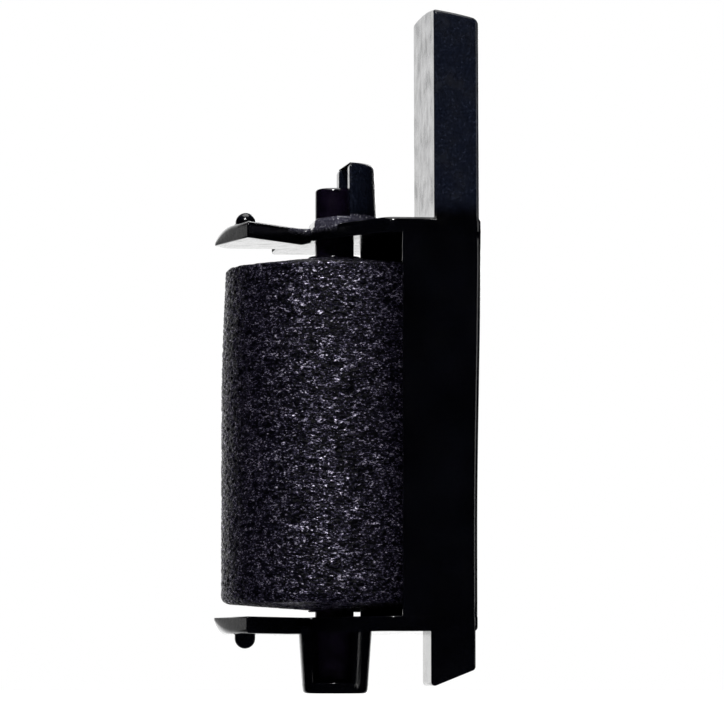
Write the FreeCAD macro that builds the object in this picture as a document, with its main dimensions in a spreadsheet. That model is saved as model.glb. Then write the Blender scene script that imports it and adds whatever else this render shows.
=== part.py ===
"""Ink roller cartridge of a hand-held price labelling gun, in millimetres.

The frame is one moulding: a spine channel closed by an upper and a lower plate, with a pull tab on
top and a bearing boss and a leg below. A foam roller turns on an axle between the plates. A snap arm
continues each plate to the left and carries a detent nub on its outer face.

+Z is up, along the roller axis. +X points from the roller to the spine. The origin is where the
roller axis meets the foot of the bearing boss.
"""
import FreeCAD, Part
import os

from FreeCAD import Vector
import Sketcher

doc = FreeCAD.newDocument("ink_roller_cartridge")

# ---------------------------------------------------------------- driving dimensions

SIZES = [
    # roller
    ("foam_radius", 9.0),
    ("foam_bottom", 6.6),
    ("foam_top", 34.6),
    ("foam_lower_crown", 0.5),
    ("foam_upper_crown", 1.0),
    ("foam_edge", 0.5),
    ("core_radius", 2.1),
    ("core_overhang", 0.15),
    ("axle_radius", 1.55),
    ("axle_top", 40.2),
    ("axle_tip_round", 0.3),
    ("running_gap", 0.05),
    # frame
    ("half_width", 9.2),
    ("spine_back", 10.5),
    ("near_panel_edge", 4.25),
    ("far_panel_edge", 3.5),
    ("panel_recess", 0.12),
    ("panel_gauge", 0.6),
    ("wall_gauge", 0.95),
    ("spine_corner", 0.65),
    ("plate_gauge", 1.2),
    ("upper_plate_base", 35.95),
    ("lower_plate_base", 4.84),
    ("plate_near_end", 2.9),
    ("plate_near_corner", 1.5),
    ("plate_rim_round", 0.35),
    ("nose_left", 1.9),
    ("nose_front", 1.0),
    ("nose_back", 1.4),
    # bearing boss under the lower plate
    ("boss_top_radius", 2.92),
    ("boss_foot_radius", 2.58),
    ("boss_floor", 0.9),
    ("window_left", 2.08),
    ("window_right", 1.17),
    # guard round the free end of the axle
    ("guard_outer", 3.32),
    ("guard_inner", 1.9),
    ("guard_mouth", 0.85),
    ("guard_top", 42.1),
    ("guard_round", 0.4),
    ("land_margin", 0.1),
    ("land_rise", 0.65),
    ("land_inset", 0.18),
    # pull tab
    ("tab_left", 6.7),
    ("tab_right", 10.32),
    ("tab_back", 2.1),
    ("tab_top", 54.0),
    ("tab_drop", 0.6),
    ("tab_round", 0.6),
    # slanted leg
    ("leg_left", 6.4),
    ("leg_right", 9.95),
    ("leg_depth", 4.8),
    ("leg_low", 0.47),
    ("leg_high", 1.88),
    # snap arms
    ("arm_gap", 0.15),
    ("arm_swell", 0.15),
    ("arm_tip", 9.4),
    ("arm_tip_back", 2.6),
    ("arm_shoulder", 7.45),
    ("arm_front", 4.85),
    ("arm_root", 4.05),
    ("arm_root_front", 0.9),
    ("arm_back", 4.6),
    ("arm_heel", 8.3),
    ("arm_round", 0.9),
    ("ramp_start", 8.4),
    ("ramp_drop", 0.8),
    ("nub_from_axis", 7.25),
    ("nub_forward", 1.2),
    ("nub_radius", 0.82),
    ("nub_lift", 0.35),
    # how far a cut runs past the material that it removes
    ("cut_margin", 1.0),
]

sheet = doc.addObject("Spreadsheet::Sheet", "sizes")
for row, (alias, value) in enumerate(SIZES, start=1):
    sheet.set("A%d" % row, alias)
    sheet.set("B%d" % row, str(value))
    sheet.setAlias("B%d" % row, alias)
doc.recompute()


def cell(expression):
    """Turn words of the sheet inside an expression into references to its cells."""
    names = sorted((alias for alias, _ in SIZES), key=len, reverse=True)
    result = ""
    index = 0
    while index < len(expression):
        name = next((n for n in names if expression.startswith(n, index)), None)
        result += "sizes." + name if name else expression[index]
        index += len(name) if name else 1
    return result


def bind(item, prop, expression):
    """Drive one property of a document object from the sheet."""
    item.setExpression(prop, cell(expression))


def number(expression):
    """Value of an expression of the sheet, for placing edges and first guesses."""
    return float(sheet.evalExpression(cell(expression)))


# ---------------------------------------------------------------- body helpers

LENGTH_SLACK = 0.02
VOLUME_SLACK = 1e-3


def new_body(node):
    """Start the body of one node; its label names the exported file."""
    body = doc.addObject("PartDesign::Body", node)
    body.Label = node
    return body


def origin_plane(body, role):
    """Origin plane of a body, such as XY_Plane."""
    return next(item for item in body.Origin.OriginFeatures if item.Role == role)


def outline_sketch(body, name, role, points, height="0"):
    """Closed outline through points given as pairs of expressions, held by distances to the origin."""
    sketch = body.newObject("Sketcher::SketchObject", name)
    sketch.AttachmentSupport = [(origin_plane(body, role), "")]
    sketch.MapMode = "FlatFace"
    bind(sketch, "AttachmentOffset.Base.z", height)
    places = [Vector(number(along), number(across), 0) for along, across in points]
    count = len(places)
    for index in range(count):
        sketch.addGeometry(Part.LineSegment(places[index], places[(index + 1) % count]), False)
    for index in range(count):
        sketch.addConstraint(Sketcher.Constraint("Coincident", index, 2, (index + 1) % count, 1))
    for index, pair in enumerate(points):
        for kind, expression in zip(("DistanceX", "DistanceY"), pair):
            rule = Sketcher.Constraint(kind, -1, 1, index, 1, number(expression))
            place = sketch.addConstraint(rule)
            bind(sketch, "Constraints[%d]" % place, expression)
    return sketch


def pad(body, name, role, points, height, length, reverse=False):
    """Solid of an outline, from a height along the plane's normal."""
    feature = body.newObject("PartDesign::Pad", name)
    feature.Profile = outline_sketch(body, name + "_outline", role, points, height)
    bind(feature, "Length", length)
    feature.Reversed = reverse
    doc.recompute()
    return feature


def pocket(body, name, role, points, height, length, reverse=False):
    """Cut of an outline, checked to take material away."""
    before = body.Shape.Volume
    feature = body.newObject("PartDesign::Pocket", name)
    feature.Profile = outline_sketch(body, name + "_outline", role, points, height)
    bind(feature, "Length", length)
    feature.Reversed = reverse
    doc.recompute()
    if body.Shape.Volume > before - VOLUME_SLACK:
        raise RuntimeError(name + " cuts nothing")
    return feature


def primitive(body, kind, name, place=("0", "0", "0"), **dims):
    """Additive or subtractive primitive whose sizes and place are bound to the sheet."""
    feature = body.newObject("PartDesign::" + kind, name)
    for prop, expression in dims.items():
        bind(feature, prop, expression)
    for letter, expression in zip("xyz", place):
        bind(feature, "Placement.Base." + letter, expression)
    doc.recompute()
    return feature


def edges_where(shape, test):
    """Names of the edges whose middle point and direction pass a test."""
    names = []
    for index, edge in enumerate(shape.Edges, start=1):
        middle = edge.valueAt((edge.FirstParameter + edge.LastParameter) / 2)
        if test(edge, middle):
            names.append("Edge%d" % index)
    return names


def fillet(body, name, radius, test):
    """Round the edges of the body's tip that pass a test."""
    base = body.Tip
    names = edges_where(base.Shape, test)
    if not names:
        raise RuntimeError(name + " finds no edge")
    feature = body.newObject("PartDesign::Fillet", name)
    feature.Base = (base, names)
    bind(feature, "Radius", radius)
    doc.recompute()
    return feature


def near(value, expression):
    """True where a coordinate lies at an expression of the sheet."""
    return abs(value - number(expression)) < LENGTH_SLACK


def is_vertical(edge):
    """True for a straight edge along Z."""
    if len(edge.Vertexes) != 2:
        return False
    span = edge.Vertexes[1].Point - edge.Vertexes[0].Point
    return abs(span.x) < LENGTH_SLACK and abs(span.y) < LENGTH_SLACK


def box_outline(left, right, front, back):
    """Rectangle from its four sides."""
    return [(left, front), (right, front), (right, back), (left, back)]


# ---------------------------------------------------------------- frame

PLATE_OUTLINE = [
    ("plate_near_end", "-half_width"),
    ("spine_back", "-half_width"),
    ("spine_back", "half_width"),
    ("-arm_root", "half_width"),
    ("-arm_root", "-arm_root_front"),
    ("-nose_left", "nose_back"),
    ("-nose_left", "-nose_front"),
]


def make_channel(body):
    """Spine: a back wall with two side panels, open towards the roller."""
    side = "half_width - panel_recess"
    pad(body, "spine_block", "XY_Plane",
        [("near_panel_edge", "-(%s)" % side), ("spine_back", "-(%s)" % side), ("spine_back", side),
         ("far_panel_edge", side), ("far_panel_edge", "0"), ("near_panel_edge", "0")],
        "lower_plate_base", "upper_plate_base + plate_gauge - lower_plate_base")
    fillet(body, "spine_corners", "spine_corner", lambda edge, mid:
           is_vertical(edge) and near(mid.x, "spine_back"))
    pocket(body, "spine_hollow", "XY_Plane",
           box_outline("far_panel_edge - cut_margin", "spine_back - wall_gauge",
                       "-(%s - panel_gauge)" % side, "%s - panel_gauge" % side),
           "lower_plate_base", "upper_plate_base + plate_gauge - lower_plate_base", reverse=True)


def make_plates(body):
    """Upper and lower plate, each reaching from the spine to a nose round the roller axis."""
    plates = (
        ("upper_plate", "upper_plate_base", "upper_plate_base + plate_gauge"),
        ("lower_plate", "lower_plate_base", "lower_plate_base"),
    )
    for name, base, outer in plates:
        pad(body, name, "XY_Plane", PLATE_OUTLINE, base, "plate_gauge")
        fillet(body, name + "_back_corners", "spine_corner + panel_recess", lambda edge, mid:
               is_vertical(edge) and near(mid.x, "spine_back") and near(abs(mid.y), "half_width"))
        fillet(body, name + "_near_corner", "plate_near_corner", lambda edge, mid:
               is_vertical(edge) and near(mid.x, "plate_near_end") and near(mid.y, "-half_width"))
        fillet(body, name + "_rim", "plate_rim_round", lambda edge, mid:
               near(mid.z, outer) and mid.y < number("nose_back")
               and number("-nose_left") - LENGTH_SLACK < mid.x < number("spine_back - spine_corner"))


def make_tab(body):
    """Pull tab: an upright bar at the spine, a little lower at its right edge."""
    pad(body, "pull_tab", "XZ_Plane",
        [("tab_left", "upper_plate_base"), ("tab_right", "upper_plate_base"),
         ("tab_right", "tab_top - tab_drop"), ("tab_left", "tab_top")],
        "-tab_back", "half_width + tab_back")


def make_leg(body):
    """Short leg below the spine, cut off on a slant."""
    pad(body, "leg", "XZ_Plane",
        [("leg_left", "lower_plate_base + plate_gauge / 2"), ("leg_left", "leg_low"),
         ("leg_right", "leg_high"), ("leg_right", "lower_plate_base + plate_gauge / 2")],
        "half_width - leg_depth", "leg_depth")


def make_boss(body):
    """Tapered bearing boss under the lower plate, with a window at its front."""
    primitive(body, "AdditiveCone", "boss", Radius1="boss_foot_radius", Radius2="boss_top_radius",
              Height="lower_plate_base + plate_gauge / 2")
    primitive(body, "SubtractiveCylinder", "lower_bearing", ("0", "0", "boss_floor"),
              Radius="axle_radius + running_gap", Height="lower_plate_base + plate_gauge")
    primitive(body, "SubtractiveBox", "boss_window", ("-window_left", "-boss_top_radius", "boss_floor"),
              Length="window_left + window_right", Width="boss_top_radius - axle_radius / 2",
              Height="lower_plate_base - boss_floor")


def make_guard(body):
    """C-shaped guard behind the free end of the axle, on a low land that follows the nose."""
    rise = "upper_plate_base + plate_gauge"
    land_top = rise + " + land_rise"
    land_left = "-(nose_left - land_inset)"
    reach = "(guard_outer + cut_margin)"
    primitive(body, "AdditiveCylinder", "land", ("0", "0", rise),
              Radius="guard_outer + land_margin", Height="land_rise")
    pocket(body, "land_trim", "XY_Plane",
           [(land_left, reach), (land_left, "-nose_front"), ("plate_near_end + land_inset", "-half_width"),
            ("-" + reach, "-half_width"), ("-" + reach, reach)],
           rise, "land_rise", reverse=True)
    primitive(body, "AdditiveCylinder", "guard", ("0", "0", land_top),
              Radius="guard_outer", Height="guard_top - (%s)" % land_top)
    primitive(body, "SubtractiveCylinder", "guard_hollow", ("0", "0", land_top),
              Radius="guard_inner", Height="guard_top - (%s)" % land_top)
    primitive(body, "SubtractiveBox", "guard_mouth_cut", ("-" + reach, "-" + reach, land_top),
              Length=reach + " + guard_mouth", Width="2 * " + reach,
              Height="guard_top - (%s)" % land_top)
    primitive(body, "SubtractiveCylinder", "upper_bearing", ("0", "0", "upper_plate_base"),
              Radius="axle_radius + running_gap", Height="plate_gauge + land_rise")


def round_frame(body):
    """Moulded radii of the tab and the guard."""
    fillet(body, "tab_corners", "tab_round", lambda edge, mid:
           mid.z > number("guard_top + tab_round") and edge.BoundBox.YLength < LENGTH_SLACK
           and edge.BoundBox.XLength > number("tab_round"))
    fillet(body, "guard_rim", "guard_round", lambda edge, mid:
           near(mid.z, "guard_top") and mid.x > number("guard_inner"))


def make_frame():
    """The one-piece moulding without its two snap arms."""
    body = new_body("frame")
    make_channel(body)
    make_plates(body)
    make_tab(body)
    make_leg(body)
    make_boss(body)
    make_guard(body)
    round_frame(body)
    return body


# ---------------------------------------------------------------- snap arms

ARM_OUTLINE = [
    ("-arm_root - arm_gap", "-arm_root_front"),
    ("-arm_root - arm_gap", "arm_back"),
    ("-arm_heel", "arm_back"),
    ("-arm_tip", "arm_tip_back"),
    ("-arm_shoulder", "-arm_front"),
]


def make_arm(node, plate_base, outward):
    """Spring arm, thicker downwards than its plate, with a ramp at its tip and a nub on its outer face."""
    body = new_body(node)
    base = "(%s - arm_swell)" % plate_base
    pad(body, node + "_blade", "XY_Plane", ARM_OUTLINE, base, "plate_gauge + arm_swell")
    outer = "(%s + plate_gauge)" % plate_base if outward > 0 else base
    sign = "+" if outward > 0 else "-"
    inner_sign = "-" if outward > 0 else "+"
    pocket(body, node + "_ramp", "XZ_Plane",
           [("-ramp_start", outer), ("-arm_tip - cut_margin", outer + sign + "cut_margin"),
            ("-arm_tip - cut_margin", outer + inner_sign + "ramp_drop"
             " * (arm_tip + cut_margin - ramp_start) / (arm_tip - ramp_start)")],
           "-half_width", "2 * half_width", reverse=True)
    fillet(body, node + "_corners", "arm_round", lambda edge, mid:
           is_vertical(edge) and (near(mid.x, "-arm_tip") or near(mid.x, "-arm_heel")))
    primitive(body, "AdditiveSphere", node + "_nub",
              ("-nub_from_axis", "-nub_forward", outer + sign + "nub_lift"), Radius="nub_radius")
    return body


# ---------------------------------------------------------------- roller

def tube(node, outer, inner, bottom, top):
    """Round tube on the roller axis."""
    body = new_body(node)
    primitive(body, "AdditiveCylinder", node + "_outside", ("0", "0", bottom),
              Radius=outer, Height="%s - (%s)" % (top, bottom))
    primitive(body, "SubtractiveCylinder", node + "_bore", ("0", "0", bottom),
              Radius=inner, Height="%s - (%s)" % (top, bottom))
    return body


def make_foam():
    """Porous ink-soaked sleeve, crowned at both ends, with softly broken outer edges."""
    body = new_body("foam_sleeve")
    sketch = outline_sketch(body, "foam_section", "XZ_Plane", [
        ("core_radius", "foam_bottom"),
        ("foam_radius", "foam_bottom + foam_lower_crown"),
        ("foam_radius", "foam_top - foam_upper_crown"),
        ("core_radius", "foam_top"),
    ])
    sleeve = body.newObject("PartDesign::Revolution", "foam_turned")
    sleeve.Profile = sketch
    sleeve.ReferenceAxis = (sketch, ["V_Axis"])
    sleeve.Angle = 360
    doc.recompute()
    fillet(body, "foam_edges", "foam_edge", lambda edge, mid:
           near(Vector(mid.x, mid.y, 0).Length, "foam_radius") and not is_vertical(edge))
    return body


def make_core():
    """Thin moulded tube that the foam is bonded to."""
    return tube("roller_core", "core_radius", "axle_radius",
                "foam_bottom - core_overhang", "foam_top + core_overhang")


def make_axle():
    """Axle from the boss floor to its free end above the upper plate."""
    body = new_body("roller_axle")
    foot = "boss_floor + 2 * running_gap"
    primitive(body, "AdditiveCylinder", "axle_rod", ("0", "0", foot),
              Radius="axle_radius", Height="axle_top - (%s)" % foot)
    fillet(body, "axle_tip", "axle_tip_round", lambda edge, mid:
           near(mid.z, "axle_top") and not is_vertical(edge))
    return body


# ---------------------------------------------------------------- build, check and export

bodies = [
    make_frame(),
    make_arm("upper_snap_arm", "upper_plate_base", 1),
    make_arm("lower_snap_arm", "lower_plate_base", -1),
    make_foam(),
    make_core(),
    make_axle(),
]
doc.recompute()

for item in doc.Objects:
    if "Invalid" in item.State or "Error" in item.State:
        raise RuntimeError("%s is in state %s" % (item.Name, item.State))

os.makedirs("parts", exist_ok=True)
for body in bodies:
    shape = body.Shape
    if shape.isNull() or not shape.isValid() or len(shape.Solids) != 1:
        raise RuntimeError(body.Label + " is not one valid solid")
    shape.exportStep("parts/%s.step" % body.Label)
    box = shape.BoundBox
    print("%-16s %8.2f mm3  X %6.2f..%6.2f  Y %6.2f..%6.2f  Z %6.2f..%6.2f" % (
        body.Label, shape.Volume, box.XMin, box.XMax, box.YMin, box.YMax, box.ZMin, box.ZMax))
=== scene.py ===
"""Looks of an ink roller cartridge for a price labelling gun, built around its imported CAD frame.

Lengths inside the shape functions are millimetres; every mesh is scaled to metres when it is made.
"""

import math

import bmesh
import bpy
import numpy as np
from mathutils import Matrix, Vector, noise


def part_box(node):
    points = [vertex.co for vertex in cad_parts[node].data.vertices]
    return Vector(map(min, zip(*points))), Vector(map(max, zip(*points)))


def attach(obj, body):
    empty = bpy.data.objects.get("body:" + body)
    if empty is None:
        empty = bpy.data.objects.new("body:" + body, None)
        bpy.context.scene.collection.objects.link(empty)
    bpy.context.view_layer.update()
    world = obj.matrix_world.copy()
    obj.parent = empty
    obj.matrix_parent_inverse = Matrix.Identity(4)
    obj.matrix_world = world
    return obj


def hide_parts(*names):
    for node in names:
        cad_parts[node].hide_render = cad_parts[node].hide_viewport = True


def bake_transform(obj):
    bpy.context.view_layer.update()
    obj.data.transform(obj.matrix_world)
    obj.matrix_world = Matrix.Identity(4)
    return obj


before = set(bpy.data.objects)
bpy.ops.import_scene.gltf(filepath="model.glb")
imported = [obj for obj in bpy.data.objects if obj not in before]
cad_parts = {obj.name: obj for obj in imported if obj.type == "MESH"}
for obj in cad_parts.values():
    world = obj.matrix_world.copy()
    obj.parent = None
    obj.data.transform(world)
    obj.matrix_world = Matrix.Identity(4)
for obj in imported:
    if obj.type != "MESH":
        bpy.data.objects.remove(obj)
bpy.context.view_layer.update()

MM = 0.001
SMOOTH_ANGLE = math.radians(38)


# ---------------------------------------------------------------- sizes, from the frame

def box_mm(node):
    """Lowest and highest corner of a CAD node in millimetres."""
    low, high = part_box(node)
    return Vector(low) / MM, Vector(high) / MM


frame_low, frame_high = box_mm("frame")
arm_low, arm_high = box_mm("upper_snap_arm")
lower_arm_high = box_mm("lower_snap_arm")[1]
foam_low, foam_high = box_mm("foam_sleeve")
core_low, core_high = box_mm("roller_core")
axle_low, axle_high = box_mm("roller_axle")

HALF_WIDTH = frame_high.y
SPINE_BACK = frame_high.x
TAB_TOP = frame_high.z
ARM_ROOT = -frame_low.x
ARM_TIP = -arm_low.x
ARM_BACK = arm_high.y
ARM_FRONT = -arm_low.y
ARM_SHOULDER = 7.45
ARM_SWELL = 0.15
GAUGE = 1.2
UPPER_BASE = arm_low.z + ARM_SWELL
LOWER_BASE = lower_arm_high.z - GAUGE
NEAR_PANEL_EDGE = 4.25
FAR_PANEL_EDGE = 3.25
PANEL_RECESS = 0.03
PANEL_GAUGE = 0.6
BACK_GAUGE = 0.95
SPINE_CORNER = 0.65
NEAR_END = 2.9
NOSE_LEFT = 1.9
NOSE_FRONT = 1.0
NOSE_BACK = 1.4
BOSS_TOP_RADIUS = 2.92
BOSS_FOOT_RADIUS = 2.58
BOSS_FLOOR = 0.9
BEARING_RADIUS = axle_high.x + 0.05
GUARD_OUTER = 3.44
GUARD_TOP = 42.1
LAND_TOP = UPPER_BASE + GAUGE + 0.65
NUB_CENTRE = (-7.25, -1.2)


# ---------------------------------------------------------------- mesh helpers

def object_from(bm, name):
    """Object of a bmesh drawn in millimetres, scaled to metres."""
    bmesh.ops.recalc_face_normals(bm, faces=bm.faces)
    if bm.calc_volume(signed=True) < 0:
        bmesh.ops.reverse_faces(bm, faces=bm.faces)
    bmesh.ops.scale(bm, vec=(MM, MM, MM), verts=bm.verts)
    mesh = bpy.data.meshes.new(name)
    bm.to_mesh(mesh)
    bm.free()
    mesh.shade_smooth()
    obj = bpy.data.objects.new(name, mesh)
    bpy.context.scene.collection.objects.link(obj)
    return obj


def arc_points(centre, radius, start, end, steps):
    """Points of an arc, angles in degrees."""
    points = []
    for index in range(steps + 1):
        angle = math.radians(start + (end - start) * index / steps)
        points.append((centre[0] + radius * math.cos(angle), centre[1] + radius * math.sin(angle), 0))
    return points


def inset_outline(corners, inset, steps=6):
    """Closed outline, counterclockwise, moved inward by inset, its corners (u, v, radius) rounded."""
    count = len(corners)
    points = []
    for index in range(count):
        u, v, radius = corners[index]
        before = Vector(corners[index - 1][:2])
        here = Vector((u, v))
        after = Vector(corners[(index + 1) % count][:2])
        incoming = (here - before).normalized()
        outgoing = (after - here).normalized()
        turn = incoming.x * outgoing.y - incoming.y * outgoing.x
        left_in = Vector((-incoming.y, incoming.x))
        left_out = Vector((-outgoing.y, outgoing.x))
        along = left_in + left_out
        moved = here + along * (inset * 2 / along.length_squared)
        if radius <= 0:
            points.append(moved)
            continue
        radius = max(radius - inset, 0.02) if turn > 0 else radius + inset
        half = math.atan2(abs(turn), incoming.dot(outgoing)) / 2
        reach = radius * math.tan(half)
        start = moved - incoming * reach
        side = left_in if turn > 0 else -left_in
        centre = start + side * radius
        first = start - centre
        sweep = 2 * half * (1 if turn > 0 else -1)
        for step in range(steps + 1):
            angle = sweep * step / steps
            cosine, sine = math.cos(angle), math.sin(angle)
            points.append(centre + Vector((first.x * cosine - first.y * sine,
                                           first.x * sine + first.y * cosine)))
    return points


def rounded_prism(corners, low, high, round_low, round_high, place, steps=4):
    """Prism of an outline between two heights, its two rims rounded; place maps (u, v, w) to x, y, z."""
    rings = [(low + round_low * (1 - math.cos(math.pi / 2 * i / steps)),
              round_low * (1 - math.sin(math.pi / 2 * i / steps))) for i in range(steps + 1)]
    rings += [(high - round_high * (1 - math.sin(math.pi / 2 * i / steps)),
               round_high * (1 - math.cos(math.pi / 2 * i / steps))) for i in range(steps + 1)]
    bm = bmesh.new()
    loops = []
    for height, inset in rings:
        loops.append([bm.verts.new(place(p.x, p.y, height)) for p in inset_outline(corners, inset)])
    for lower, upper in zip(loops, loops[1:]):
        for index in range(len(lower)):
            follow = (index + 1) % len(lower)
            bm.faces.new((lower[index], lower[follow], upper[follow], upper[index]))
    bm.faces.new(list(reversed(loops[0])))
    bm.faces.new(loops[-1])
    return bm


def flat(u, v, w):
    """Outline drawn from above, height along Z."""
    return Vector((u, v, w))


def from_front(u, v, w):
    """Outline drawn in X and Z, depth along Y."""
    return Vector((u, w, v))


def from_side(u, v, w):
    """Outline drawn in Y and Z, depth along X."""
    return Vector((w, u, v))


def lathe(profile, segments, centre=(0.0, 0.0)):
    """Closed solid of revolution about a vertical axis; the profile runs from axis to axis."""
    bm = bmesh.new()
    rings = []
    for radius, height in profile:
        if radius < 1e-6:
            rings.append([bm.verts.new((centre[0], centre[1], height))])
            continue
        ring = []
        for index in range(segments):
            angle = 2 * math.pi * index / segments
            ring.append(bm.verts.new((centre[0] + radius * math.cos(angle),
                                      centre[1] + radius * math.sin(angle), height)))
        rings.append(ring)
    for lower, upper in zip(rings, rings[1:]):
        for index in range(segments):
            follow = (index + 1) % segments
            corners = []
            for vert in (lower[index % len(lower)], lower[follow % len(lower)],
                         upper[follow % len(upper)], upper[index % len(upper)]):
                if vert not in corners:
                    corners.append(vert)
            bm.faces.new(corners)
    return bm


def evaluated(obj):
    """Replace an object's mesh with the result of its modifiers."""
    graph = bpy.context.evaluated_depsgraph_get()
    mesh = bpy.data.meshes.new_from_object(obj.evaluated_get(graph), depsgraph=graph)
    obj.modifiers.clear()
    obj.data = mesh
    return obj


def boolean(obj, tools, operation):
    """Join tools to obj, or cut them from it, and remove the tools."""
    for tool in tools:
        modifier = obj.modifiers.new(operation, "BOOLEAN")
        modifier.operation = operation
        modifier.solver = "EXACT"
        modifier.object = tool
        evaluated(obj)
        bpy.data.objects.remove(tool)
    return obj


def finish_normals(obj):
    """Sharp creases where faces meet steeply, and normals that keep flat faces flat."""
    obj.data.shade_smooth()
    obj.data.set_sharp_from_angle(angle=SMOOTH_ANGLE)
    modifier = obj.modifiers.new("normals", "WEIGHTED_NORMAL")
    modifier.keep_sharp = True
    modifier.weight = 90
    return evaluated(obj)


# ---------------------------------------------------------------- moulding

def slice_along(bm, axis, places):
    """Cut a mesh by planes across one axis, so that it can bend there."""
    normal = Vector([float(index == axis) for index in range(3)])
    for place in places:
        geometry = bm.verts[:] + bm.edges[:] + bm.faces[:]
        bmesh.ops.bisect_plane(bm, geom=geometry, plane_co=normal * place, plane_no=normal, dist=1e-5)


def smoothstep(value, low, high):
    """Smooth rise from 0 at low to 1 at high."""
    share = max(0.0, min(1.0, (value - low) / (high - low)))
    return share * share * (3 - 2 * share)


def draw_in_back(bm):
    """Bring the lower half of the spine's back wall forward, as the cooled moulding has drawn in."""
    shrink, from_low, to_high = 0.31, 12.0, 36.0
    for vert in bm.verts:
        reach = max(0.0, vert.co.x - NEAR_PANEL_EDGE) / (SPINE_BACK - NEAR_PANEL_EDGE)
        vert.co.x -= shrink * reach * (1 - smoothstep(vert.co.z, from_low, to_high))


def channel():
    """Spine channel, its ends sunk into the two plates."""
    side = HALF_WIDTH - PANEL_RECESS
    back = SPINE_BACK - 0.02
    inner = SPINE_BACK - BACK_GAUGE
    inside = side - PANEL_GAUGE
    corners = [
        (NEAR_PANEL_EDGE, -side, 0.3), (back, -side, SPINE_CORNER), (back, side, SPINE_CORNER),
        (FAR_PANEL_EDGE, side, 0.25), (FAR_PANEL_EDGE, inside, 0.2), (inner, inside, 0.4),
        (inner, -inside, 0.4), (NEAR_PANEL_EDGE, -inside, 0.2),
    ]
    low, high = LOWER_BASE + 0.5, UPPER_BASE + 0.5
    bm = rounded_prism(corners, low, high, 0.02, 0.02, flat, steps=1)
    slice_along(bm, 2, np.linspace(low, high, 16)[1:-1])
    draw_in_back(bm)
    return object_from(bm, "channel")


def plate_outline():
    """A plate and its snap arm, seen from above."""
    return [
        (NEAR_END, -HALF_WIDTH, 1.5), (SPINE_BACK, -HALF_WIDTH, SPINE_CORNER + PANEL_RECESS),
        (SPINE_BACK, HALF_WIDTH, SPINE_CORNER + PANEL_RECESS), (-ARM_ROOT, HALF_WIDTH, 0.5),
        (-ARM_ROOT, ARM_BACK, 0.5), (-8.3, ARM_BACK, 0.9), (-ARM_TIP - 0.06, 2.6, 0.9),
        (-ARM_SHOULDER, -ARM_FRONT, 0.12), (-NOSE_LEFT, NOSE_BACK, 0.35),
        (-NOSE_LEFT, -NOSE_FRONT, 0.8),
    ]


def plate(name, base, outward):
    """A plate with its arm, which is a little thicker and runs out in a bullnose at its tip."""
    outer_rim, inner_rim = 0.35, 0.12
    rims = (inner_rim, outer_rim) if outward > 0 else (outer_rim, inner_rim)
    bm = rounded_prism(plate_outline(), base, base + GAUGE, rims[0], rims[1], flat)
    nose_start, nose_drop, cuts = 8.12, 1.12, 14
    reach = ARM_TIP - nose_start
    slice_along(bm, 0, [-nose_start - reach * math.sin(math.pi / 2 * index / cuts)
                        for index in range(cuts)])
    inner_face = base if outward > 0 else base + GAUGE
    for vert in bm.verts:
        slope = (-vert.co.x - nose_start) / reach
        share = abs(vert.co.z - inner_face) / GAUGE
        lower_share = (base + GAUGE - vert.co.z) / GAUGE
        vert.co.z -= lower_share * ARM_SWELL * smoothstep(-vert.co.x, NOSE_LEFT - 0.2, NOSE_LEFT + 0.8)
        if slope > 0:
            vert.co.z -= outward * share * nose_drop * min(1.0, slope) ** 2.6
    draw_in_back(bm)
    return object_from(bm, name)


def tab():
    """Pull tab whose domed top falls to the right; it leans a hair to the left."""
    left, right, back, front = 6.74, 10.32, 2.1, -HALF_WIDTH + 0.02
    foot = UPPER_BASE + 0.5
    crest, dome, lean = -1.2, 0.0076, 0.05
    slope, curve = 0.13, 0.021
    corners = [(front, foot, 0), (back, foot, 0)]
    for y in np.linspace(back, front, 16):
        corners.append((y, TAB_TOP - dome * (y - crest) ** 2, 0))
    corners[2] = corners[2][:2] + (0.45,)
    corners[-1] = corners[-1][:2] + (0.4,)
    bm = rounded_prism(corners, left, right, 0.2, 0.45, from_side)
    slice_along(bm, 0, np.linspace(left + 0.3, right - 0.6, 8))
    slice_along(bm, 2, np.linspace(foot + 2, TAB_TOP - 2, 6))
    for vert in bm.verts:
        rise = max(0.0, (vert.co.z - foot) / (TAB_TOP - foot))
        across = vert.co.x - left
        fall = across * (slope + curve * across)
        vert.co.z -= smoothstep(vert.co.z, TAB_TOP - 3, TAB_TOP - 1) * fall
        vert.co.x -= lean * rise
    return object_from(bm, "tab")


def leg():
    """Short leg below the spine, cut off on a slant."""
    left, right, low, high, depth = 6.45, 9.95, 0.47, 1.88, 4.8
    corners = [(left, low, 0.3), (right, high, 0.35), (right, LOWER_BASE + 0.5, 0),
               (left, LOWER_BASE + 0.5, 0)]
    bm = rounded_prism(corners, -HALF_WIDTH + 0.02, depth - HALF_WIDTH, 0.2, 0.2, from_front)
    return object_from(bm, "leg")


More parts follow.
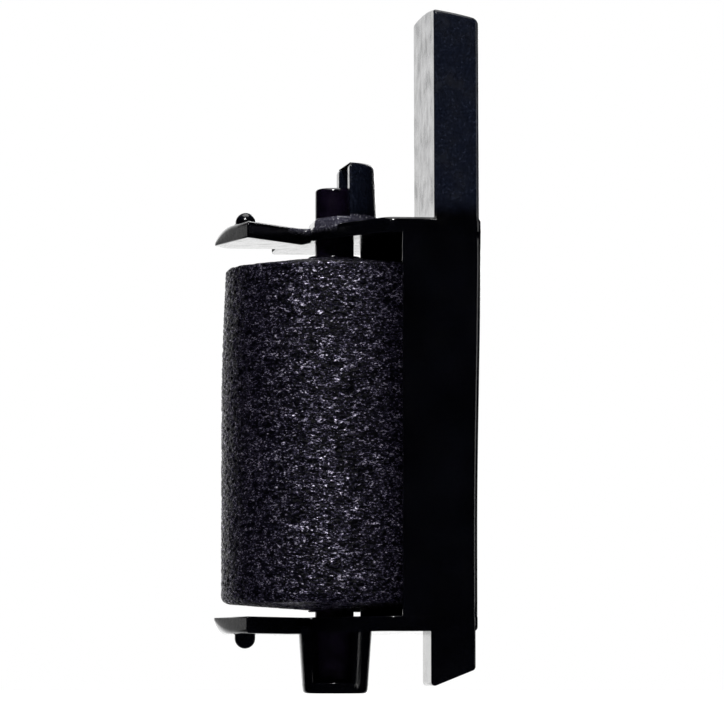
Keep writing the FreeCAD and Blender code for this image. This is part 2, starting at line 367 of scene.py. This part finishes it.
def boss():
    """Tapered bearing boss: a wall with a window at its front, on a closed foot."""
    left, right, window_back = -2.08, 1.17, -0.78
    offset = 0.08
    top = LOWER_BASE + 0.5
    outer_right = math.degrees(math.asin(right / BOSS_TOP_RADIUS)) - 90
    outer_left = 270 + math.degrees(math.asin(left / BOSS_TOP_RADIUS))
    inner_turn = math.degrees(math.asin(window_back / BEARING_RADIUS))
    corners = arc_points((0, 0), BOSS_TOP_RADIUS, outer_right, outer_left, 32)
    corners[0] = corners[0][:2] + (0.16,)
    corners[-1] = corners[-1][:2] + (0.16,)
    corners += [(left, window_back, 0.1)]
    corners += arc_points((0, 0), BEARING_RADIUS, 180 - inner_turn, inner_turn, 36)
    corners += [(right, window_back, 0)]
    bm = rounded_prism(corners, BOSS_FLOOR - 0.3, top, 0.02, 0.02, flat, steps=1)
    for vert in bm.verts:
        radius = math.hypot(vert.co.x, vert.co.y)
        share = max(0.0, min(1.0, (radius - BEARING_RADIUS) / (BOSS_TOP_RADIUS - BEARING_RADIUS)))
        wide = BOSS_FOOT_RADIUS + (BOSS_TOP_RADIUS - BOSS_FOOT_RADIUS) * vert.co.z / LOWER_BASE
        factor = 1 + share * (wide / BOSS_TOP_RADIUS - 1)
        vert.co.x = vert.co.x * factor + share * offset
        vert.co.y *= factor
    wall = object_from(bm, "boss_wall")
    rise = (BOSS_TOP_RADIUS - BOSS_FOOT_RADIUS) / LOWER_BASE
    rim, sill = BOSS_FOOT_RADIUS + rise * BOSS_FLOOR - 0.004, 0.16
    profile = [(0, 0)]
    profile += [(BOSS_FOOT_RADIUS - 0.3 + 0.3 * math.sin(a), 0.3 - 0.3 * math.cos(a))
                for a in np.linspace(0, math.pi / 2, 6)]
    profile += [(rim - sill + sill * math.cos(a), BOSS_FLOOR - sill + sill * math.sin(a))
                for a in np.linspace(0, math.pi / 2, 6)]
    profile += [(0, BOSS_FLOOR)]
    foot = object_from(lathe(profile, 96, centre=(offset, 0)), "boss_foot")
    return [wall, foot]


def guard():
    """C-shaped guard with a drafted wall, open towards the roller's free side."""
    inner, draft = 1.9, 0.2
    near_mouth, far_mouth = 0.85, 0.6
    near_turn, far_turn = [[math.degrees(math.acos(mouth / radius)) for radius in (GUARD_OUTER, inner)]
                           for mouth in (near_mouth, far_mouth)]
    corners = arc_points((0, 0), GUARD_OUTER, -near_turn[0], far_turn[0], 36)
    inside = arc_points((0, 0), inner, far_turn[1], -near_turn[1], 24)
    for chain in (corners, inside):
        chain[0] = chain[0][:2] + (0.16,)
        chain[-1] = chain[-1][:2] + (0.16,)
    bm = rounded_prism(corners + inside, LAND_TOP - 0.3, GUARD_TOP, 0.02, 0.42, flat)
    for vert in bm.verts:
        radius = math.hypot(vert.co.x, vert.co.y)
        share = max(0.0, min(1.0, (radius - inner) / (GUARD_OUTER - inner)))
        climb = (vert.co.z - LAND_TOP) / (GUARD_TOP - LAND_TOP)
        factor = 1 - share * draft * climb / GUARD_OUTER
        vert.co.x *= factor
        vert.co.y *= factor
    return object_from(bm, "guard")


def land():
    """Low raised land round the upper bearing, trimmed along the nose of the plate."""
    radius, inset = GUARD_OUTER + 0.06, 0.18
    left = inset - NOSE_LEFT
    start = Vector((left, -NOSE_FRONT))
    along = Vector((NEAR_END - left + inset, NOSE_FRONT - HALF_WIDTH)).normalized()
    half = start.dot(along)
    meet = start + along * (math.sqrt(half * half - start.length_squared + radius * radius) - half)
    low_turn = math.degrees(math.atan2(meet.y, meet.x))
    corners = arc_points((0, 0), radius, low_turn, math.degrees(math.acos(left / radius)), 32)
    corners[0] = corners[0][:2] + (0.3,)
    corners[-1] = corners[-1][:2] + (0.3,)
    corners.append((*start, 0.5))
    bm = rounded_prism(corners, UPPER_BASE + GAUGE - 0.3, LAND_TOP, 0.02, 0.42, flat)
    return object_from(bm, "land")


def nub(name, face, outward, lift):
    """Round detent nub with a small fillet at its foot."""
    radius, fillet = 0.82, 0.1
    profile = [(0, face - outward * 0.5), (radius + fillet, face - outward * 0.5),
               (radius + fillet, face - outward * 0.02)]
    profile += [(radius + fillet * (1 - math.sin(a)), face + outward * fillet * (1 - math.cos(a)))
                for a in np.linspace(0.2, math.pi / 2, 4)]
    profile += [(radius * math.cos(a), face + outward * (lift + radius * math.sin(a)))
                for a in np.linspace(0, math.pi / 2, 12)]
    profile[-1] = (0, profile[-1][1])
    return object_from(lathe(profile, 48, centre=NUB_CENTRE), name)


def moulding():
    """The whole moulding as one closed mesh, frame and both arms."""
    body = channel()
    parts = [
        plate("upper_plate", UPPER_BASE, 1), plate("lower_plate", LOWER_BASE, -1),
        land(), guard(), tab(), leg(), *boss(),
        nub("upper_nub", UPPER_BASE + GAUGE, 1, 0.13), nub("lower_nub", LOWER_BASE - ARM_SWELL, -1, 0.33),
    ]
    boolean(body, parts, "UNION")
    bores = []
    for low, high in ((UPPER_BASE - 1, LAND_TOP + 0.02), (BOSS_FLOOR, LOWER_BASE + GAUGE + 1)):
        profile = [(0, low), (BEARING_RADIUS, low), (BEARING_RADIUS, high), (0, high)]
        bores.append(object_from(lathe(profile, 72), "bore"))
    boolean(body, bores, "DIFFERENCE")
    return body


def cut_at_root(whole, name, keep_arm, above):
    """The frame, or one arm, of the whole moulding, cut at the arms' roots."""
    bm = bmesh.new()
    bm.from_mesh(whole.data)
    plane = Vector((-ARM_ROOT * MM, 0, 0))
    middle = (UPPER_BASE + LOWER_BASE) / 2 * MM
    geometry = bm.verts[:] + bm.edges[:] + bm.faces[:]
    cut = bmesh.ops.bisect_plane(bm, geom=geometry, plane_co=plane, plane_no=(1, 0, 0), dist=1e-8,
                                 clear_inner=not keep_arm, clear_outer=keep_arm)
    edges = [item for item in cut["geom_cut"] if isinstance(item, bmesh.types.BMEdge)]
    bmesh.ops.holes_fill(bm, edges=edges, sides=0)
    if keep_arm:
        other = [v for v in bm.verts if (v.co.z > middle) != above]
        bmesh.ops.delete(bm, geom=other, context="VERTS")
    mesh = bpy.data.meshes.new(name)
    bm.to_mesh(mesh)
    bm.free()
    obj = bpy.data.objects.new(name, mesh)
    bpy.context.scene.collection.objects.link(obj)
    return obj


# ---------------------------------------------------------------- roller

def axle():
    """Glossy axle with a rounded free end."""
    radius, tip = axle_high.x, 0.28
    profile = [(0, axle_low.z), (radius - 0.15, axle_low.z), (radius, axle_low.z + 0.15),
               (radius, axle_high.z - tip)]
    profile += [(radius - tip + tip * math.cos(a), axle_high.z - tip + tip * math.sin(a))
                for a in np.linspace(0.25, math.pi / 2, 6)]
    profile += [(radius * 0.5, axle_high.z), (0, axle_high.z)]
    return finish_normals(object_from(lathe(profile, 96), "roller_axle_shaft"))


def core():
    """Collars of the core tube that show at the foam's two ends."""
    outer, inner, edge = core_high.x, axle_high.x + 0.004, 0.12
    low, high = core_low.z, core_high.z
    bm = bmesh.new()
    segments = 96
    profile = [(inner, low)]
    profile += [(outer - edge + edge * math.sin(a), low + edge - edge * math.cos(a))
                for a in np.linspace(0, math.pi / 2, 4)]
    profile += [(outer - edge + edge * math.cos(a), high - edge + edge * math.sin(a))
                for a in np.linspace(0, math.pi / 2, 4)]
    profile += [(inner, high)]
    rings = []
    for radius, height in profile:
        rings.append([bm.verts.new((radius * math.cos(2 * math.pi * i / segments),
                                    radius * math.sin(2 * math.pi * i / segments), height))
                      for i in range(segments)])
    for lower, upper in zip(rings, rings[1:] + rings[:1]):
        for i in range(segments):
            j = (i + 1) % segments
            bm.faces.new((lower[i], lower[j], upper[j], upper[i]))
    return finish_normals(object_from(bm, "roller_core_tube"))


def foam_outline():
    """Half section of the sleeve: crowned ends, soft rims, and a waist that narrows to the top."""
    inner, outer = core_high.x + 0.01, foam_high.x
    lower_crown, upper_crown, taper = 0.45, 0.85, 0.36
    rim, top_rim = 0.7, 0.4
    end_steps, rim_steps, side_steps = 40, 9, 360
    low, high = foam_low.z + lower_crown, foam_high.z - upper_crown

    def skin(height):
        return outer - taper * smoothstep(height, 22.0, 37.0) * smoothstep(height, 16.0, high)

    outline = []
    for share in np.linspace(0, 1, end_steps)[:-1]:
        outline.append((inner + share * (outer - rim - inner), low - lower_crown * (1 - share)))
    for turn in np.linspace(0, math.pi / 2, rim_steps)[:-1]:
        outline.append((outer - rim + rim * math.sin(turn), low + rim - rim * math.cos(turn)))
    for height in np.linspace(low + rim, high - top_rim, side_steps)[:-1]:
        outline.append((skin(height), height))
    shoulder = skin(high) - top_rim
    for turn in np.linspace(0, math.pi / 2, rim_steps)[:-1]:
        outline.append((shoulder + top_rim * math.cos(turn), high - top_rim + top_rim * math.sin(turn)))
    for share in np.linspace(1, 0, end_steps):
        outline.append((inner + share * (shoulder - inner), high + upper_crown * (1 - share)))
    return outline


def foam_relief(point):
    """Depth of the foam's skin below its outline, in millimetres: fibres lie round the roller."""
    strands = noise.noise(Vector((point.x * 1.5, point.y * 1.5, point.z * 4.6)))
    pores = noise.noise(Vector((point.x, point.y, point.z * 1.3)) * 3.6 + Vector((7, 3, 1)))
    waves = noise.noise(point * 0.45)
    return max(0.0, 0.035 + 0.07 * strands + 0.09 * max(-0.25, pores) + 0.03 * waves)


def foam():
    """Porous foam sleeve: a dense tube whose skin is pitted and matted round the roller."""
    around, bonded = 520, 1.2
    outline = foam_outline()
    bm = bmesh.new()
    rings = []
    for radius, height in outline:
        rings.append([bm.verts.new((radius * math.cos(2 * math.pi * i / around),
                                    radius * math.sin(2 * math.pi * i / around), height))
                      for i in range(around)])
    for lower, upper in zip(rings, rings[1:] + rings[:1]):
        for i in range(around):
            j = (i + 1) % around
            bm.faces.new((lower[i], lower[j], upper[j], upper[i]))
    bm.normal_update()
    for ring, (radius, height) in zip(rings, outline):
        loose = smoothstep(radius, core_high.x, core_high.x + bonded)
        for vert in ring:
            vert.co -= vert.normal * foam_relief(vert.co) * loose
    return object_from(bm, "foam_roller_sleeve")


# ---------------------------------------------------------------- materials

def new_material(name):
    """Material with its node tree, shader and a small node factory."""
    material = bpy.data.materials.new(name)
    material.use_nodes = True
    tree = material.node_tree
    shader = tree.nodes["Principled BSDF"]

    def node(kind, **values):
        item = tree.nodes.new(kind)
        for key, value in values.items():
            if key in item.inputs:
                item.inputs[key].default_value = value
            else:
                setattr(item, key.lower().replace(" ", "_"), value)
        return item

    return material, tree, shader, node


def ramp(node_factory, stops):
    """Colour ramp from (place, value) stops in grey, or (place, (r, g, b))."""
    item = node_factory("ShaderNodeValToRGB")
    elements = item.color_ramp.elements
    while len(elements) < len(stops):
        elements.new(0.5)
    for element, (place, value) in zip(elements, stops):
        element.position = place
        colour = value if isinstance(value, tuple) else (value, value, value)
        element.color = (*colour, 1)
    return item


def land_sheen_area(node, link, position, height):
    """Mask of the land round the upper axle, where its painted sheen goes: 1 on it, 0 away from it, above
    it and below it.
    """
    across = node("ShaderNodeVectorMath", Operation="MULTIPLY")
    across.inputs[1].default_value = (1, 1, 0)
    link(position, across.inputs[0])
    radius = node("ShaderNodeVectorMath", Operation="LENGTH")
    link(across.outputs["Vector"], radius.inputs[0])
    edges = []
    for source, start, end in ((radius.outputs["Value"], GUARD_OUTER + 0.5, GUARD_OUTER + 0.2),
                               (height, LAND_TOP - 1.3, LAND_TOP - 0.6),
                               (height, LAND_TOP + 0.2, LAND_TOP)):
        edge = node("ShaderNodeMapRange", Interpolation_type="SMOOTHSTEP")
        edge.inputs["From Min"].default_value = start * MM
        edge.inputs["From Max"].default_value = end * MM
        link(source, edge.inputs["Value"])
        edges.append(edge.outputs["Result"])
    mask = edges[0]
    for edge in edges[1:]:
        both = node("ShaderNodeMath", Operation="MULTIPLY")
        link(mask, both.inputs[0])
        link(edge, both.inputs[1])
        mask = both.outputs[0]
    return mask


def moulded_plastic(name):
    """Near-black moulded plastic: polished below, drier and bluish on the tab, with light violet-grey
    specks painted on the land round the upper bearing as its sheen and highlight.
    """
    material, tree, shader, node = new_material(name)
    link = tree.links.new
    place = node("ShaderNodeTexCoord")
    haze = node("ShaderNodeTexNoise", Scale=260.0, Detail=5.0, Roughness=0.6)
    pits = node("ShaderNodeTexNoise", Scale=2600.0, Detail=6.0, Roughness=0.7)
    swirl = node("ShaderNodeTexNoise", Scale=700.0, Detail=3.0)
    flecks = node("ShaderNodeTexNoise", Scale=5200.0, Detail=2.0, Roughness=0.6)
    for item in (haze, pits, swirl, flecks):
        link(place.outputs["Object"], item.inputs["Vector"])
    split = node("ShaderNodeSeparateXYZ")
    link(place.outputs["Object"], split.inputs["Vector"])
    dry = node("ShaderNodeMapRange", Interpolation_type="SMOOTHSTEP")
    dry.inputs["From Min"].default_value = (UPPER_BASE + GAUGE) * MM
    dry.inputs["From Max"].default_value = (LAND_TOP + 1) * MM
    link(split.outputs["Z"], dry.inputs["Value"])

    inked = ramp(node, [(0.3, (0.0003, 0.0003, 0.0006)), (0.7, (0.0012, 0.0013, 0.0024))])
    bare = ramp(node, [(0.35, (0.0022, 0.0031, 0.0070)), (0.58, (0.0042, 0.0058, 0.0122)),
                       (0.75, (0.0130, 0.0160, 0.0280))])
    tint = node("ShaderNodeMix", Data_type="RGBA")
    link(dry.outputs["Result"], tint.inputs[0])
    for item, source, socket in ((inked, haze, 6), (bare, flecks, 7)):
        link(source.outputs["Fac"], item.inputs["Fac"])
        link(item.outputs["Color"], tint.inputs[socket])

    # Painted sheen and highlight: light violet-grey specks in the base colour of the land round the upper
    # bearing stand in for the light its rounded rim catches.
    land_sheen_mask = land_sheen_area(node, link, place.outputs["Object"], split.outputs["Z"])
    painted_sheen_specks = ramp(node, [(0.38, (0.030, 0.029, 0.045)), (0.60, (0.075, 0.072, 0.100)),
                       (0.66, (0.20, 0.20, 0.23)), (0.76, (0.65, 0.65, 0.70))])
    link(flecks.outputs["Fac"], painted_sheen_specks.inputs["Fac"])
    sheen_mix = node("ShaderNodeMix", Data_type="RGBA")
    link(land_sheen_mask, sheen_mix.inputs[0])
    link(tint.outputs[2], sheen_mix.inputs[6])
    link(painted_sheen_specks.outputs["Color"], sheen_mix.inputs[7])
    link(sheen_mix.outputs[2], shader.inputs["Base Color"])

    polished = ramp(node, [(0.3, 0.10), (0.55, 0.14), (0.8, 0.24)])
    worn = ramp(node, [(0.3, 0.17), (0.55, 0.24), (0.8, 0.36)])
    rough = node("ShaderNodeMix", Data_type="RGBA")
    link(dry.outputs["Result"], rough.inputs[0])
    for item, socket in ((polished, 6), (worn, 7)):
        link(swirl.outputs["Fac"], item.inputs["Fac"])
        link(item.outputs["Color"], rough.inputs[socket])
    link(rough.outputs[2], shader.inputs["Roughness"])

    bump = node("ShaderNodeBump", Strength=0.12, Distance=0.00008)
    link(pits.outputs["Fac"], bump.inputs["Height"])
    link(bump.outputs["Normal"], shader.inputs["Normal"])
    shader.inputs["IOR"].default_value = 1.5
    return material


def wet_plastic(name):
    """Axle plastic, glossy with a film of violet-black ink."""
    material, tree, shader, node = new_material(name)
    link = tree.links.new
    place = node("ShaderNodeTexCoord")
    film = node("ShaderNodeTexNoise", Scale=900.0, Detail=4.0)
    link(place.outputs["Object"], film.inputs["Vector"])
    tint = ramp(node, [(0.35, (0.0012, 0.0008, 0.0024)), (0.7, (0.0050, 0.0026, 0.0095))])
    link(film.outputs["Fac"], tint.inputs["Fac"])
    link(tint.outputs["Color"], shader.inputs["Base Color"])
    rough = ramp(node, [(0.3, 0.1), (0.75, 0.26)])
    link(film.outputs["Fac"], rough.inputs["Fac"])
    link(rough.outputs["Color"], shader.inputs["Roughness"])
    bump = node("ShaderNodeBump", Strength=0.12, Distance=0.00008)
    link(film.outputs["Fac"], bump.inputs["Height"])
    link(bump.outputs["Normal"], shader.inputs["Normal"])
    shader.inputs["IOR"].default_value = 1.5
    shader.inputs["Coat Weight"].default_value = 0.6
    shader.inputs["Coat Roughness"].default_value = 0.06
    return material


def ink_foam(name):
    """Ink-soaked open foam: black with a violet tinge; the glints of its wet walls are painted in as
    bright violet-grey specks in the base colour, and these specks are also metallic so they reflect the
    lamps.
    """
    material, tree, shader, node = new_material(name)
    link = tree.links.new
    place = node("ShaderNodeTexCoord")
    stretch = node("ShaderNodeMapping")
    stretch.inputs["Scale"].default_value = (1.0, 1.0, 1.9)
    link(place.outputs["Object"], stretch.inputs["Vector"])
    cells = node("ShaderNodeTexVoronoi", Scale=4200.0)
    grain = node("ShaderNodeTexNoise", Scale=4300.0, Detail=3.0, Roughness=0.7)
    wet = node("ShaderNodeTexNoise", Scale=1300.0, Detail=3.0, Roughness=0.6)
    for item in (cells, grain, wet):
        link(stretch.outputs["Vector"], item.inputs["Vector"])
    painted_glint_mask = node("ShaderNodeMath", Operation="MULTIPLY_ADD")
    link(wet.outputs["Fac"], painted_glint_mask.inputs[0])
    painted_glint_mask.inputs[1].default_value = 0.45
    lift = node("ShaderNodeMath", Operation="SUBTRACT")
    lift.inputs[1].default_value = 0.225
    link(grain.outputs["Fac"], lift.inputs[0])
    link(lift.outputs[0], painted_glint_mask.inputs[2])
    # Painted glints: the brightest specks get a light violet-grey base colour of up to 0.9, which stands
    # in for glints of the wet cell walls; the same specks are made metallic just below.
    tint = ramp(node, [(0.48, (0.0004, 0.0004, 0.0010)), (0.56, (0.008, 0.007, 0.016)),
                       (0.62, (0.16, 0.145, 0.23)), (0.69, (0.90, 0.85, 1.0))])
    link(painted_glint_mask.outputs[0], tint.inputs["Fac"])
    link(tint.outputs["Color"], shader.inputs["Base Color"])
    glint = ramp(node, [(0.54, 0.0), (0.62, 0.95)])
    link(painted_glint_mask.outputs[0], glint.inputs["Fac"])
    link(glint.outputs["Color"], shader.inputs["Metallic"])
    rough = ramp(node, [(0.4, 0.26), (0.6, 0.40)])
    link(wet.outputs["Fac"], rough.inputs["Fac"])
    link(rough.outputs["Color"], shader.inputs["Roughness"])
    coarse = node("ShaderNodeBump", Strength=1.0, Distance=0.00004)
    link(cells.outputs["Distance"], coarse.inputs["Height"])
    fine = node("ShaderNodeBump", Strength=1.0, Distance=0.00006)
    link(grain.outputs["Fac"], fine.inputs["Height"])
    link(coarse.outputs["Normal"], fine.inputs["Normal"])
    link(fine.outputs["Normal"], shader.inputs["Normal"])
    shader.inputs["IOR"].default_value = 1.45
    shader.inputs["Specular IOR Level"].default_value = 0.1
    return material


def paint(obj, material):
    """Give a piece its material."""
    obj.data.materials.clear()
    obj.data.materials.append(material)
    return obj


# ---------------------------------------------------------------- stage, light and camera

def aim(obj, target):
    """Turn a light or camera to look at a point."""
    direction = Vector(target) - obj.location
    obj.rotation_euler = direction.to_track_quat("-Z", "Y").to_euler()


def make_floor():
    """Plain white floor under the boss, lit a little from below as a light table is."""
    bm = bmesh.new()
    bmesh.ops.create_circle(bm, cap_ends=True, segments=96, radius=6000)
    floor = object_from(bm, "floor")
    floor.location.z = -0.00002
    material, tree, shader, node = new_material("white_floor")
    speckle = node("ShaderNodeTexNoise", Scale=60.0)
    tint = ramp(node, [(0.2, 0.86), (0.8, 0.9)])
    tree.links.new(speckle.outputs["Fac"], tint.inputs["Fac"])
    tree.links.new(tint.outputs["Color"], shader.inputs["Base Color"])
    shader.inputs["Roughness"].default_value = 0.7
    shader.inputs["Emission Color"].default_value = (1, 1, 1, 1)
    shader.inputs["Emission Strength"].default_value = 0.9
    floor.data.materials.append(material)
    floor.visible_glossy = False


def make_world():
    """White studio behind and beside the object, black where the camera stands."""
    world = bpy.data.worlds.new("studio")
    bpy.context.scene.world = world
    world.use_nodes = True
    tree = world.node_tree
    tree.nodes.clear()
    link = tree.links.new
    place = tree.nodes.new("ShaderNodeTexCoord")
    split = tree.nodes.new("ShaderNodeSeparateXYZ")
    fade = tree.nodes.new("ShaderNodeMapRange")
    fade.interpolation_type = "SMOOTHSTEP"
    fade.inputs["From Min"].default_value = 0.75
    fade.inputs["From Max"].default_value = 0.97
    fade.inputs["To Max"].default_value = 1.45
    around = tree.nodes.new("ShaderNodeBackground")
    seen = tree.nodes.new("ShaderNodeBackground")
    mix = tree.nodes.new("ShaderNodeMixShader")
    path = tree.nodes.new("ShaderNodeLightPath")
    output = tree.nodes.new("ShaderNodeOutputWorld")
    link(place.outputs["Generated"], split.inputs["Vector"])
    link(split.outputs["Y"], fade.inputs["Value"])
    link(fade.outputs["Result"], around.inputs["Strength"])
    link(path.outputs["Is Camera Ray"], mix.inputs["Fac"])
    link(around.outputs["Background"], mix.inputs[1])
    link(seen.outputs["Background"], mix.inputs[2])
    link(mix.outputs["Shader"], output.inputs["Surface"])
    around.inputs["Color"].default_value = (1, 1, 1, 1)
    seen.inputs["Color"].default_value = (1, 1, 1, 1)


def area_light(name, place, size, power, colour=(1, 1, 1), target=(0.003, 0, 0.022)):
    """Soft rectangular light aimed at the object."""
    data = bpy.data.lights.new(name, "AREA")
    data.shape = "RECTANGLE"
    data.size, data.size_y = size
    data.energy = power
    data.color = colour
    light = bpy.data.objects.new(name, data)
    bpy.context.scene.collection.objects.link(light)
    light.location = place
    aim(light, target)
    return light


def make_lights():
    """Soft boxes: a key from the front left, a panel at the right, one overhead, one behind."""
    area_light("key", (-0.12, -0.44, 0.49), (0.08, 0.12), 2.5)
    area_light("right_panel", (0.42, -0.12, 0.10), (0.10, 0.30), 0.22)
    area_light("overhead", (0.0, 0.05, 0.5), (0.35, 0.35), 1.1)
    area_light("rear", (0.25, 0.45, 0.22), (0.12, 0.30), 0.6)


def make_camera():
    """Long lens from the front left, just above the floor, tilted slightly up."""
    azimuth, pitch = math.radians(7.5), math.radians(4.155)
    distance, offset, height = 0.359, 0.00221, 0.0003
    forward = Vector((math.sin(azimuth), math.cos(azimuth), 0))
    right = Vector((math.cos(azimuth), -math.sin(azimuth), 0))
    data = bpy.data.cameras.new("camera")
    data.sensor_width = 36
    data.lens = 224.45
    data.clip_start = 0.01
    data.clip_end = 50
    camera = bpy.data.objects.new("camera", data)
    bpy.context.scene.collection.objects.link(camera)
    camera.location = right * offset - forward * distance + Vector((0, 0, height))
    camera.rotation_euler = (math.pi / 2 + pitch, 0, -azimuth)
    bpy.context.scene.camera = camera


# ---------------------------------------------------------------- put together

bpy.context.scene.view_settings.view_transform = "Standard"
make_world()
make_floor()
make_lights()
make_camera()

plastic = moulded_plastic("moulded_black_plastic")
inked = wet_plastic("inked_axle_plastic")
foam_material = ink_foam("ink_soaked_foam")

whole = moulding()
frame_piece = finish_normals(cut_at_root(whole, "frame_moulding", False, True))
upper_arm = finish_normals(cut_at_root(whole, "upper_snap_arm_blade", True, True))
lower_arm = finish_normals(cut_at_root(whole, "lower_snap_arm_blade", True, False))
bpy.data.objects.remove(whole)

for piece in (frame_piece, upper_arm, lower_arm):
    paint(piece, plastic)
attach(frame_piece, "frame")
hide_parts("frame")

for piece, body, node, height in (
        (upper_arm, "upper_arm", "upper_snap_arm", UPPER_BASE + GAUGE / 2),
        (lower_arm, "lower_arm", "lower_snap_arm", LOWER_BASE + GAUGE / 2)):
    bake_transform(piece)
    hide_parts(node)

shaft = paint(axle(), inked)
tube = paint(core(), inked)
sleeve = paint(foam(), foam_material)
for piece, node in ((shaft, "roller_axle"), (tube, "roller_core"), (sleeve, "foam_sleeve")):
    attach(piece, "roller")
    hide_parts(node)

bpy.context.view_layer.update()
